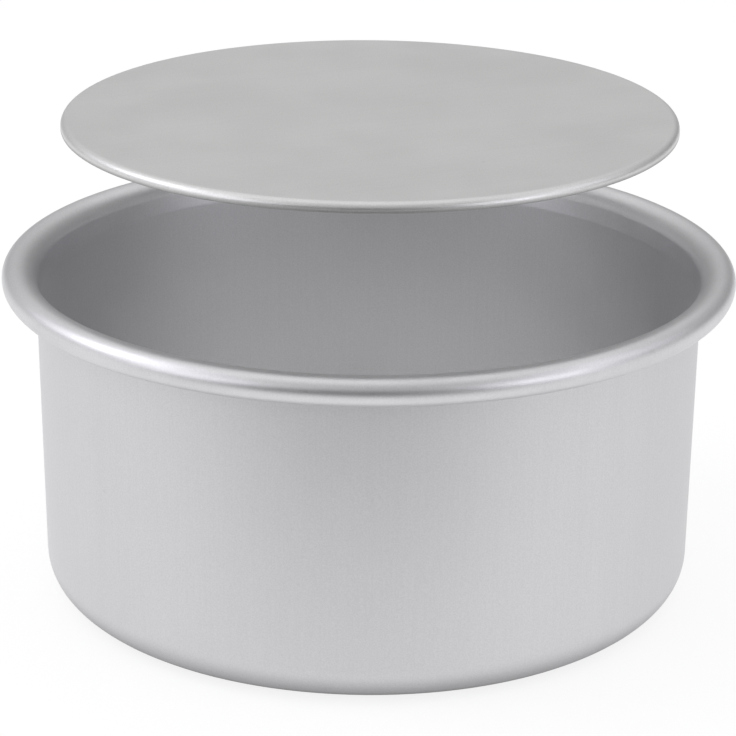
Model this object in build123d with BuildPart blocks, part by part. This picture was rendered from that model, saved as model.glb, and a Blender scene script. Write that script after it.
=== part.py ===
from build123d import *
from math import atan2, cos, degrees, radians, sin, sqrt
import os

# Round cake tin with a loose base, in millimetres.
# The origin is the centre of the underside and +Z is the axis of the tin.
# The base is modelled where it is held up, level and centred above the mouth.
# From there it goes straight down until its turned edge sits in the rounded corner of the tin.

# Sheet that both pieces are pressed from
sheet = 1.2
edge_break = 0.3              # rounding of each cut edge of the sheet

# Body of the tin
mouth_diameter = 203.2        # inside, where the wall ends and the neck begins
tin_height = 105.6            # underside to the top of the rim
wall_taper = 1.3              # how much less the radius is at the foot of the wall
corner_radius = 12.0          # outside, where the wall turns under
floor_width = 20.5            # foot of the wall to the edge of the hole in the floor

# Neck and rolled rim
neck_lean = 8.8               # degrees that the neck leans out
neck_length = 5.1             # end of the wall to the start of the flare
neck_bend_radius = 6.0        # middle of the sheet, where the wall meets the neck
curl_radius = 4.4             # outside of the rolled edge
curl_slit = 0.9               # how much wider the back of the flare is than the curl
curl_wrap = 250.0             # degrees that the sheet turns through past the top of the rim

# Loose base
base_side_gap = 6.3           # edge of the base to the foot of the wall, all round
base_depth = 3.1              # top face to the foot of the turned edge
base_bend_radius = 2.1        # outside of the turned edge
base_seat_gap = 0.2           # turned edge to the rounded corner, with the base in its place
base_raised = 42.1            # top of the rim to the foot of the raised base

# Outline of the tin, along the middle of the sheet
half_sheet = sheet / 2
curl_mid_radius = curl_radius - half_sheet
flare_mid_radius = curl_radius + curl_slit + half_sheet
neck_rise = neck_length * cos(radians(neck_lean))
flare_rise = flare_mid_radius * (1 - sin(radians(neck_lean)))
wall_top_radius = mouth_diameter / 2 + half_sheet
wall_top_height = tin_height - half_sheet - flare_rise - neck_rise
neck_top_radius = wall_top_radius + neck_length * sin(radians(neck_lean))
neck_top_height = wall_top_height + neck_rise
wall_foot_radius = wall_top_radius - wall_taper
corner_mid_radius = corner_radius - half_sheet
hole_radius = wall_foot_radius + half_sheet - floor_width

# Place of the base in the tin: the rounded foot of its turned edge lies in the rounded corner
wall_lean = atan2(wall_taper, wall_top_height - half_sheet)
corner_centre_radius = wall_foot_radius - corner_mid_radius * (1 - sin(wall_lean)) / cos(wall_lean)
base_radius = wall_foot_radius - half_sheet - base_side_gap
foot_reach = corner_radius - sheet - edge_break - base_seat_gap
foot_inset = max(0, base_radius - edge_break - corner_centre_radius)
seated_foot = corner_radius - sqrt(foot_reach**2 - foot_inset**2) - edge_break
raised_foot = tin_height + base_raised


def round_cut_edge(section, end):
    """Round the two corners of the sheet where its outline ends."""
    fillet(section.vertices().sort_by_distance(end)[:2], radius=edge_break)


# Tin: floor ring, rounded corner, wall, neck, flare and curl in one unbroken sheet
with BuildPart() as tin:
    with BuildSketch(Plane.XZ) as tin_section:
        with BuildLine():
            body = FilletPolyline(
                (hole_radius, half_sheet),
                (wall_foot_radius, half_sheet),
                (wall_top_radius, wall_top_height),
                (neck_top_radius, neck_top_height),
                radius=(corner_mid_radius, neck_bend_radius),
            )
            flare = JernArc(body @ 1, body % 1, flare_mid_radius, neck_lean - 90)
            curl = JernArc(flare @ 1, flare % 1, curl_mid_radius, -curl_wrap)
        trace(line_width=sheet)
        round_cut_edge(tin_section, body @ 0)
        round_cut_edge(tin_section, curl @ 1)
    revolve(axis=Axis.Z)

# Loose base: a flat disc with its edge turned down all round
with BuildPart() as loose_base:
    with BuildSketch(Plane.XZ) as base_section:
        with BuildLine():
            plate = FilletPolyline(
                (0, raised_foot + base_depth - half_sheet),
                (base_radius - half_sheet, raised_foot + base_depth - half_sheet),
                (base_radius - half_sheet, raised_foot),
                radius=base_bend_radius - half_sheet,
            )
        trace(line_width=sheet)
        round_cut_edge(base_section, plate @ 1)
    revolve(axis=Axis.Z)

tin.part.label = "tin"
loose_base.part.label = "loose_base"

os.makedirs("parts", exist_ok=True)
export_step(tin.part, "parts/tin.step")
export_step(loose_base.part, "parts/loose_base.step")

print(f"travel of the base, raised to seated: {raised_foot - seated_foot:.3f}")
print(f"foot of the seated base: {seated_foot:.3f}")
print(f"base radius {base_radius:.3f}, hole radius {hole_radius:.3f}")
print(f"standing ring: {hole_radius:.3f} to {corner_centre_radius:.3f}")
print(f"wall ends at {wall_top_height:.3f}, lean of the wall {degrees(wall_lean):.2f} degrees")
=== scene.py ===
from math import atan2, ceil, cos, degrees, hypot, pi, radians, sin, tan

import bpy
from mathutils import Matrix, Vector


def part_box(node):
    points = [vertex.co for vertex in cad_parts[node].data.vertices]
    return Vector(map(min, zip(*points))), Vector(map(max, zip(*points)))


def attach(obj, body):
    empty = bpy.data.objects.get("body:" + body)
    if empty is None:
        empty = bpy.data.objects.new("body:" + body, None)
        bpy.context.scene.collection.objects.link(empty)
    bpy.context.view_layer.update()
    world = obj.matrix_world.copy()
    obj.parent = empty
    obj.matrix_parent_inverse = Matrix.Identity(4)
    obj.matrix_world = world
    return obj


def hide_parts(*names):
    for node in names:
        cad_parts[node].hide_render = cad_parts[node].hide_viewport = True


# Round cake tin with a loose base, in metres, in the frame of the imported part.
# The tin stands on z = 0 and its axis is Z. The camera stands on the -Y side and looks along +Y.
# The loose base hangs above the mouth at rest and rides down into the tin on its slide.

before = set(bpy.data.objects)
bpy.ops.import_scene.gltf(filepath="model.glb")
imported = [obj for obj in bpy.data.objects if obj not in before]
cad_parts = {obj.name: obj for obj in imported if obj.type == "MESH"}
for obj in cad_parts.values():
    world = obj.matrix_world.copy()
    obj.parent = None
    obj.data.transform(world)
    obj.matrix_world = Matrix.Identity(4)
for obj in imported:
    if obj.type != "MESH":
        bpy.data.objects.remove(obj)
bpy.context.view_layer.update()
scene = bpy.context.scene
mm = 0.001

tin_low, tin_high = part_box("tin")
base_low, base_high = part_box("loose_base")

# Camera, fitted to the outlines in the photograph
camera_distance = 0.8731       # from the axis of the tin
camera_height = 0.3888
camera_pitch = 0.35204         # radians below the horizon
camera_roll = 0.00865          # radians; the photograph leans a little to the right
focal_length_px = 2960.2
picture_px = 736
sensor_mm = 36.0

# Sheet that both pieces are pressed from
sheet = 1.2 * mm
half_sheet = sheet / 2
edge_break = 0.3 * mm          # rounding of each cut edge of the sheet

# Tin, from the hole in its floor to the end of its rolled rim. Bend radii are to the middle of the sheet.
tin_height = tin_high.z
mouth_radius = 101.6 * mm      # inside, where the wall ends and the neck begins
wall_taper = 1.3 * mm          # how much less the radius is at the foot of the wall
corner_bend_radius = 11.4 * mm
floor_width = 20.5 * mm        # foot of the wall to the edge of the hole
neck_lean = 8.8                # degrees that the neck leans out
neck_length = 5.1 * mm
neck_bend_radius = 6.0 * mm
flare_bend_radius = 5.9 * mm
curl_bend_radius = 3.8 * mm
curl_wrap = 250                # degrees that the sheet turns through past the top of the rim

# Loose base
base_radius = base_high.x
base_top = base_high.z
base_foot = base_low.z
base_bend_radius = 1.5 * mm

# Fineness of the turned meshes
segments_around = 256
bend_step = 6                  # degrees of a bend from one point to the next
cut_edge_steps = 3

# Satin metal. A contrast is how much a pattern darkens or lightens the colour.
tin_colour = (0.714, 0.711, 0.725)
base_colour = (0.725, 0.722, 0.718)
metal_roughness = 0.53
roughness_spread = 0.02
noise_range = (0.3, 0.7)       # values of a noise from which and up to which its pattern counts

# Even grain of the finish, and a faint cloudiness over it
grain_size = 0.45 * mm
grain_detail = 1
grain_depth = 0.004 * mm
grain_contrast = 0.06
cloud_size = 28 * mm
cloud_detail = 4
cloud_depth = 0.08 * mm
cloud_contrast = 0.025

# Faint lines that drawing and rolling leave in sheet. A direction is in degrees about X, Y and Z.
draw_line_width = 0.7 * mm
draw_line_detail = 2
draw_line_stretch = 60
draw_line_depth = 0.001 * mm
draw_line_contrast = 0.015
tin_draw_direction = (0, 90, 0)        # up the wall
base_draw_direction = (0, 0, 25)       # across the plate

# Hairline scratches and small pits
scratch_width = 0.6 * mm
scratch_detail = 0
scratch_stretch = 45
scratch_direction = (0, 35, 20)
scratch_range = (0.72, 0.80)   # only the highest values of the noise are scratches
scratch_contrast = 0.03
scratch_polish = 0.06
pit_spacing = 11 * mm
pit_size = 0.9 * mm
pit_range = (0.6, 1)           # which of the places for a pit have one, and how deep it is
pit_depth = 0.01 * mm
pit_contrast = 0.08

# Edges rubbed smoother by use, unevenly
wear_contrast = 0.02
wear_polish = 0.13
worn_range = (0.35, 0.65)
least_worn_share = 0.4
crest_wear_start = 13 * mm     # below the top of the rim
crest_wear_full = 8 * mm
foot_wear_height = 5 * mm
base_wear_width = 1.5 * mm

# Painted shade along the lowest edge of each piece, darker towards the bottom
tin_foot_shade_height = 4 * mm
base_edge_shade_height = 1.4 * mm
low_edge_shade_contrast = 0.5

# Floor. A level or a strength of 1 is white.
floor_half_width = 4.0
floor_paint = 0.20             # how much light the floor sends back, which is what a shadow takes away
floor_glow = 0.83              # brings the floor up to white where no shadow falls

# How bright the metal sees the floor, all painted: dark towards the camera, a painted shadow dimming a ring
# round the tin's foot, and painted light in the hole
floor_front_range = (-0.50, -0.25)             # along Y, from dark to lit
hole_light_level = 1.05
contact_shadow_level = 0.42
hole_range = (45 * mm, 84 * mm)                # radii, from the painted light in the hole to the painted contact shadow
contact_shadow_range = (96 * mm, 112 * mm)            # radii, from the painted contact shadow back to the plain floor

# Room. A range is of the direction, as a unit vector, over which one level passes into the next.
camera_side_level = 0.05
back_level = 0.38
side_level = 0.85
wall_level = 0.62
ceiling_level = 1.02
camera_side_range = (-0.8, -0.45)              # along Y
side_range = (0.6, 0.9)                        # along X, to either side
horizon_range = (0.04, 0.16)                   # up
wall_range = (0.22, 0.38)
ceiling_range = (0.72, 0.88)
ceiling_tilt = 0.3             # how much lower the ceiling reaches at the back than at the camera's side
left_share = 1.05              # the left of the room is this much brighter, and the right this much darker
right_share = 0.75
across_range = (-0.9, 0.9)                     # along X, from left to right

# Lamps
lamp_distance = 1.8
lamp_colour = (0.94, 0.94, 1.0)


def start_path(radius, height, heading):
    """Start a path along the middle of the sheet, as points of radius, height and heading in radians."""
    return [(radius, height, radians(heading))]


def run(path, length):
    """Go straight on."""
    radius, height, heading = path[-1]
    path.append((radius + length * cos(heading), height + length * sin(heading), heading))


def bend(path, bend_radius, angle):
    """Turn left through an angle in degrees, or right where it is negative."""
    steps = ceil(abs(angle) / bend_step)
    turn = radians(angle) / steps
    chord = 2 * bend_radius * sin(abs(turn) / 2)
    for _ in range(steps):
        radius, height, heading = path[-1]
        middle = heading + turn / 2
        path.append((radius + chord * cos(middle), height + chord * sin(middle), heading + turn))


def cut_edge(radius, height, heading):
    """Outline of a cut end of the sheet, with both of its corners rounded."""
    forward = Vector((cos(heading), sin(heading)))
    left = Vector((-sin(heading), cos(heading)))
    end = Vector((radius, height))
    outline = []
    for side in (1, -1):
        centre = end - forward * edge_break + left * side * (half_sheet - edge_break)
        for step in range(cut_edge_steps + 1):
            share = step / cut_edge_steps
            angle = (1 - share if side == 1 else share) * pi / 2
            facing = left * side * sin(angle) + forward * cos(angle)
            outline.append((centre + facing * edge_break, facing))
    return outline


def sheet_side(path, side):
    """Outline of the left (1) or right (-1) face of the sheet, with the way that each point faces."""
    outline = []
    for radius, height, heading in path:
        facing = Vector((-sin(heading), cos(heading))) * side
        outline.append((Vector((radius, height)) + facing * half_sheet, facing))
    return outline if side == 1 else outline[::-1]


def turn_on_axis(name, outline, closed):
    """Turn an outline about Z into a mesh whose normals follow the outline exactly."""
    vertices = []
    normals = []
    rings = []
    for (radius, height), (out, up) in outline:
        on_axis = radius < sheet / segments_around
        count = 1 if on_axis else segments_around
        rings.append([len(vertices) + k % count for k in range(segments_around + 1)])
        for k in range(count):
            angle = 2 * pi * k / segments_around
            vertices.append((radius * cos(angle), radius * sin(angle), height))
            normals.append((out * cos(angle), out * sin(angle), up))
    faces = []
    pairs = list(zip(rings, rings[1:]))
    if closed:
        pairs.append((rings[-1], rings[0]))
    for here, there in pairs:
        for k in range(segments_around):
            corners = (here[k], there[k], there[k + 1], here[k + 1])
            faces.append(tuple(dict.fromkeys(corners)))
    mesh = bpy.data.meshes.new(name)
    mesh.from_pydata(vertices, [], faces)
    mesh.shade_smooth()
    mesh.normals_split_custom_set_from_vertices(normals)
    piece = bpy.data.objects.new(name, mesh)
    scene.collection.objects.link(piece)
    return piece


def make_tin():
    """One sheet: floor ring, rounded corner, wall, neck, flare and curl."""
    wall_top = mouth_radius + half_sheet
    wall_foot = wall_top - wall_taper
    neck_rise = neck_length * cos(radians(neck_lean))
    flare_rise = flare_bend_radius * (1 - sin(radians(neck_lean)))
    wall_rise = tin_height - sheet - flare_rise - neck_rise
    wall_lean = degrees(atan2(wall_taper, wall_rise))
    corner_turn = 90 - wall_lean
    neck_turn = neck_lean - wall_lean
    corner_reach = corner_bend_radius * tan(radians(corner_turn) / 2)
    neck_reach = neck_bend_radius * tan(radians(neck_turn) / 2)

    path = start_path(wall_foot + half_sheet - floor_width, half_sheet, 0)
    run(path, floor_width - half_sheet - corner_reach)
    bend(path, corner_bend_radius, corner_turn)
    run(path, hypot(wall_taper, wall_rise) - corner_reach - neck_reach)
    bend(path, neck_bend_radius, -neck_turn)
    run(path, neck_length - neck_reach)
    bend(path, flare_bend_radius, neck_lean - 90)
    bend(path, curl_bend_radius, -curl_wrap)

    hole_radius, hole_height, hole_heading = path[0]
    outline = (
        sheet_side(path[1:-1], 1)
        + cut_edge(*path[-1])
        + sheet_side(path[1:-1], -1)
        + cut_edge(hole_radius, hole_height, hole_heading + pi)
    )
    return turn_on_axis("tin_sheet", outline, closed=True)


def make_loose_base():
    """A flat plate with its edge turned down all round."""
    path = start_path(0, base_top - half_sheet, 0)
    run(path, base_radius - half_sheet - base_bend_radius)
    bend(path, base_bend_radius, -90)
    run(path, path[-1][1] - base_foot)
    outline = sheet_side(path[:-1], 1) + cut_edge(*path[-1]) + sheet_side(path[:-1], -1)
    return turn_on_axis("base_plate", outline, closed=False)


def link(tree_owner, source, target):
    """Join two sockets in a material or a world."""
    tree_owner.node_tree.links.new(source, target)


def add_math(tree_owner, operation, first, second):
    """Sum, product or comparison of two sockets or numbers."""
    node = tree_owner.node_tree.nodes.new("ShaderNodeMath")
    node.operation = operation
    for socket, value in zip(node.inputs, (first, second)):
        if isinstance(value, bpy.types.NodeSocket):
            link(tree_owner, value, socket)
        else:
            socket.default_value = value
    return node.outputs["Value"]


def add_mix(tree_owner, share, first, second):
    """First value where the share is 0 and second where it is 1."""
    change = add_math(tree_owner, "SUBTRACT", second, first)
    return add_math(tree_owner, "ADD", first, add_math(tree_owner, "MULTIPLY", share, change))


def add_ramp(tree_owner, value, start, end, low, high):
    """Go smoothly from low to high while the value goes from start to end."""
    node = tree_owner.node_tree.nodes.new("ShaderNodeMapRange")
    node.interpolation_type = "SMOOTHSTEP"
    link(tree_owner, value, node.inputs["Value"])
    node.inputs["From Min"].default_value = start
    node.inputs["From Max"].default_value = end
    node.inputs["To Min"].default_value = low
    node.inputs["To Max"].default_value = high
    return node.outputs["Result"]


def split_axes(tree_owner, place):
    """The X, Y and Z of a place or a direction."""
    node = tree_owner.node_tree.nodes.new("ShaderNodeSeparateXYZ")
    link(tree_owner, place, node.inputs["Vector"])
    return node.outputs


def add_noise(material, place, feature_size, detail):
    """Cloudy noise from 0 to 1 with features of a size in metres."""
    node = material.node_tree.nodes.new("ShaderNodeTexNoise")
    link(material, place, node.inputs["Vector"])
    node.inputs["Scale"].default_value = 1 / feature_size
    node.inputs["Detail"].default_value = detail
    return node.outputs["Fac"]


def add_stretch(material, place, turn, stretch):
    """Turn a place by degrees about X, Y and Z and squeeze it along X, which draws features out along it."""
    node = material.node_tree.nodes.new("ShaderNodeMapping")
    node.vector_type = "TEXTURE"
    link(material, place, node.inputs["Vector"])
    node.inputs["Rotation"].default_value = [radians(angle) for angle in turn]
    node.inputs["Scale"].default_value = (stretch, 1, 1)
    return node.outputs["Vector"]


def add_marks(material, place, spacing, size):
    """Small round marks, scattered unevenly: 1 in the middle of a mark and 0 between them."""
    node = material.node_tree.nodes.new("ShaderNodeTexVoronoi")
    link(material, place, node.inputs["Vector"])
    node.inputs["Scale"].default_value = 1 / spacing
    mark = add_ramp(material, node.outputs["Distance"], 0, size / spacing, 1, 0)
    split = material.node_tree.nodes.new("ShaderNodeSeparateColor")
    link(material, node.outputs["Color"], split.inputs["Color"])
    chosen = add_ramp(material, split.outputs["Red"], *pit_range, 0, 1)
    return add_math(material, "MULTIPLY", mark, chosen)


def add_bump(material, height, depth, before=None):
    """Bump whose full height is a depth in metres."""
    node = material.node_tree.nodes.new("ShaderNodeBump")
    node.inputs["Strength"].default_value = 1
    node.inputs["Distance"].default_value = depth
    link(material, height, node.inputs["Height"])
    if before:
        link(material, before, node.inputs["Normal"])
    return node.outputs["Normal"]


def add_distance(material, place, point):
    """Distance from a point."""
    node = material.node_tree.nodes.new("ShaderNodeVectorMath")
    node.operation = "DISTANCE"
    link(material, place, node.inputs[0])
    node.inputs[1].default_value = point
    return node.outputs["Value"]


def tin_wear(material, place):
    """1 where the tin is rubbed: along the crest of the rim and where it stands."""
    height = split_axes(material, place)["Z"]
    crest = add_ramp(material, height, tin_height - crest_wear_start, tin_height - crest_wear_full, 0, 1)
    foot = add_ramp(material, height, 0, foot_wear_height, 1, 0)
    return add_math(material, "MAXIMUM", crest, foot)


def base_wear(material, place):
    """1 where the base is rubbed: round its turned edge."""
    radius = add_distance(material, place, (0, 0, base_top))
    return add_ramp(material, radius, base_radius - base_wear_width, base_radius, 0, 1)


def tin_foot_painted_shade(material, place):
    """Painted shade: 1 at the foot of the tin, fading to 0 a little way up."""
    return add_ramp(material, split_axes(material, place)["Z"], tin_low.z, tin_low.z + tin_foot_shade_height, 1, 0)


def base_edge_painted_shade(material, place):
    """Painted shade: 1 at the cut edge of the base, fading to 0 a little way up."""
    return add_ramp(material, split_axes(material, place)["Z"], base_foot, base_foot + base_edge_shade_height, 1, 0)


def add_changes(material, value, changes):
    """Add each pattern of a list to a value, times its amount."""
    for pattern, amount in changes:
        value = add_math(material, "ADD", value, add_math(material, "MULTIPLY", pattern, amount))
    return value


def make_satin_aluminium(name, metal_colour, draw_direction, find_wear, find_painted_shade):
    """Fine satin metal: grain, cloudiness, draw lines, scratches and pits, with rubbed edges and painted
    shade along the lowest edges.
    """
    material = bpy.data.materials.new(name)
    material.use_nodes = True
    nodes = material.node_tree.nodes
    shader = nodes["Principled BSDF"]
    shader.inputs["Metallic"].default_value = 1
    place = nodes.new("ShaderNodeTexCoord").outputs["Object"]

    grain = add_noise(material, place, grain_size, grain_detail)
    cloud = add_noise(material, place, cloud_size, cloud_detail)
    along_draw = add_stretch(material, place, draw_direction, draw_line_stretch)
    lines = add_noise(material, along_draw, draw_line_width, draw_line_detail)
    along_scratch = add_stretch(material, place, scratch_direction, scratch_stretch)
    scratch_noise = add_noise(material, along_scratch, scratch_width, scratch_detail)
    scratches = add_ramp(material, scratch_noise, *scratch_range, 0, 1)
    pits = add_marks(material, place, pit_spacing, pit_size)
    worn = add_ramp(material, cloud, *worn_range, least_worn_share, 1)
    rubbed = add_math(material, "MULTIPLY", find_wear(material, place), worn)
    # Painted shade along the lowest edge of the piece, darker towards the bottom
    low_edge_shade = find_painted_shade(material, place)

    shade = add_ramp(material, cloud, *noise_range, 1 - cloud_contrast, 1)
    for pattern, contrast in ((grain, grain_contrast), (lines, draw_line_contrast)):
        pattern_shade = add_ramp(material, pattern, *noise_range, 1 - contrast, 1)
        shade = add_math(material, "MULTIPLY", shade, pattern_shade)
    marks = (
        (scratches, -scratch_contrast),
        (pits, -pit_contrast),
        (rubbed, wear_contrast),
        # painted shade along the lowest edge
        (low_edge_shade, -low_edge_shade_contrast),
    )
    shade = add_changes(material, shade, marks)
    colour = nodes.new("ShaderNodeVectorMath")
    colour.operation = "SCALE"
    colour.inputs[0].default_value = metal_colour
    link(material, shade, colour.inputs["Scale"])
    link(material, colour.outputs["Vector"], shader.inputs["Base Color"])

    smoothest = metal_roughness - roughness_spread
    roughest = metal_roughness + roughness_spread
    rough = add_ramp(material, cloud, *noise_range, smoothest, roughest)
    rough = add_changes(material, rough, ((scratches, -scratch_polish), (rubbed, -wear_polish)))
    link(material, rough, shader.inputs["Roughness"])

    bump = add_bump(material, grain, grain_depth)
    bump = add_bump(material, lines, draw_line_depth, bump)
    bump = add_bump(material, add_math(material, "ADD", pits, scratches), -pit_depth, bump)
    bump = add_bump(material, cloud, cloud_depth, bump)
    link(material, bump, shader.inputs["Normal"])
    return material


def make_camera():
    """Camera where the photograph was taken from."""
    data = bpy.data.cameras.new("camera")
    data.sensor_width = sensor_mm
    data.lens = focal_length_px * sensor_mm / picture_px
    camera = bpy.data.objects.new("camera", data)
    scene.collection.objects.link(camera)
    camera.matrix_world = (
        Matrix.Translation((0, -camera_distance, camera_height))
        @ Matrix.Rotation(pi / 2 - camera_pitch, 4, "X")
        @ Matrix.Rotation(camera_roll, 4, "Z")
    )
    scene.camera = camera


def make_floor_paint():
    """White paint that keeps the object's shadow. Its glow shows to the camera and in the metal."""
    material = bpy.data.materials.new("floor_paint")
    material.use_nodes = True
    nodes = material.node_tree.nodes
    shader = nodes["Principled BSDF"]
    shader.inputs["Base Color"].default_value = (floor_paint, floor_paint, floor_paint, 1)
    shader.inputs["Roughness"].default_value = 1
    shader.inputs["Specular IOR Level"].default_value = 0
    shader.inputs["Emission Color"].default_value = (1, 1, 1, 1)

    place = nodes.new("ShaderNodeTexCoord").outputs["Object"]
    # Painted shade and light that only the metal sees: darker towards the camera, a painted shadow round the
    # tin's foot and painted light in the hole
    front = add_ramp(material, split_axes(material, place)["Y"], *floor_front_range, 0, 1)
    radius = add_distance(material, place, (0, 0, 0))
    inner = add_ramp(material, radius, *hole_range, hole_light_level, contact_shadow_level)
    outer = add_ramp(material, radius, *contact_shadow_range, contact_shadow_level, 1)
    painted_shadow_and_light = add_math(material, "MAXIMUM", inner, outer)

    ray = nodes.new("ShaderNodeLightPath").outputs
    mirrored = add_math(material, "ADD", ray["Is Glossy Ray"], ray["Is Transmission Ray"])
    mirrored = add_math(material, "MULTIPLY", mirrored, add_math(material, "MULTIPLY", front, painted_shadow_and_light))
    seen = add_math(material, "ADD", ray["Is Camera Ray"], mirrored)
    glow = add_math(material, "MULTIPLY", seen, floor_glow)
    link(material, glow, shader.inputs["Emission Strength"])
    return material


def make_floor():
    """A wide square that the tin stands on."""
    half = floor_half_width
    corners = [(-half, -half, 0), (half, -half, 0), (half, half, 0), (-half, half, 0)]
    mesh = bpy.data.meshes.new("floor")
    mesh.from_pydata(corners, [], [(0, 1, 2, 3)])
    mesh.materials.append(make_floor_paint())
    floor = bpy.data.objects.new("floor", mesh)
    scene.collection.objects.link(floor)


def make_lamp(name, azimuth, elevation, size, strength):
    """A square soft box. Its place is in degrees: azimuth 0 is the camera's side and 90 is the right."""
    data = bpy.data.lights.new(name, "AREA")
    data.size = size
    data.energy = strength * pi * size * size
    data.color = lamp_colour
    lamp = bpy.data.objects.new(name, data)
    around = radians(azimuth)
    up = radians(elevation)
    direction = Vector((sin(around) * cos(up), -cos(around) * cos(up), sin(up)))
    target = Vector((0, 0, tin_height))
    lamp.location = target + lamp_distance * direction
    lamp.rotation_euler = (target - lamp.location).to_track_quat("-Z", "Y").to_euler()
    scene.collection.objects.link(lamp)


def make_world():
    """Room with walls, a ceiling and a horizon, bright at the sides and dark behind the camera.

    The camera itself sees plain white.
    """
    world = bpy.data.worlds.new("world")
    scene.world = world
    world.use_nodes = True
    nodes = world.node_tree.nodes
    background = nodes["Background"]
    background.inputs["Color"].default_value = (1, 1, 1, 1)
    direction = split_axes(world, nodes.new("ShaderNodeTexCoord").outputs["Generated"])
    across = direction["X"]
    depth = direction["Y"]
    height = direction["Z"]

    ends = add_ramp(world, depth, *camera_side_range, camera_side_level, back_level)
    sides = add_ramp(world, height, *horizon_range, side_level, back_level)
    beside = add_ramp(world, add_math(world, "ABSOLUTE", across, 0), *side_range, 0, 1)
    horizon = add_mix(world, beside, ends, sides)
    level = add_mix(world, add_ramp(world, height, *wall_range, 0, 1), horizon, wall_level)
    share = add_ramp(world, across, *across_range, left_share, right_share)
    level = add_math(world, "MULTIPLY", level, share)
    overhead = add_math(world, "ADD", height, add_math(world, "MULTIPLY", depth, ceiling_tilt))
    level = add_mix(world, add_ramp(world, overhead, *ceiling_range, 0, 1), level, ceiling_level)
    level = add_mix(world, nodes.new("ShaderNodeLightPath").outputs["Is Camera Ray"], level, 1)
    link(world, level, background.inputs["Strength"])


make_camera()

tin = make_tin()
tin_metal = make_satin_aluminium("tin_metal_satin", tin_colour, tin_draw_direction, tin_wear, tin_foot_painted_shade)
tin.data.materials.append(tin_metal)
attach(tin, "tin")
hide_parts("tin")

loose_base = make_loose_base()
base_metal = make_satin_aluminium("base_metal_satin", base_colour, base_draw_direction, base_wear, base_edge_painted_shade)
loose_base.data.materials.append(base_metal)
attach(loose_base, "loose_base")
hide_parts("loose_base")

make_floor()
make_world()
make_lamp("left", azimuth=268, elevation=34, size=1.0, strength=2.3)
make_lamp("left_low", azimuth=306, elevation=17, size=0.9, strength=1.7)
make_lamp("right", azimuth=84, elevation=34, size=1.0, strength=1.0)
make_lamp("right_low", azimuth=52, elevation=12, size=0.8, strength=2.5)

scene.view_settings.view_transform = "Standard"
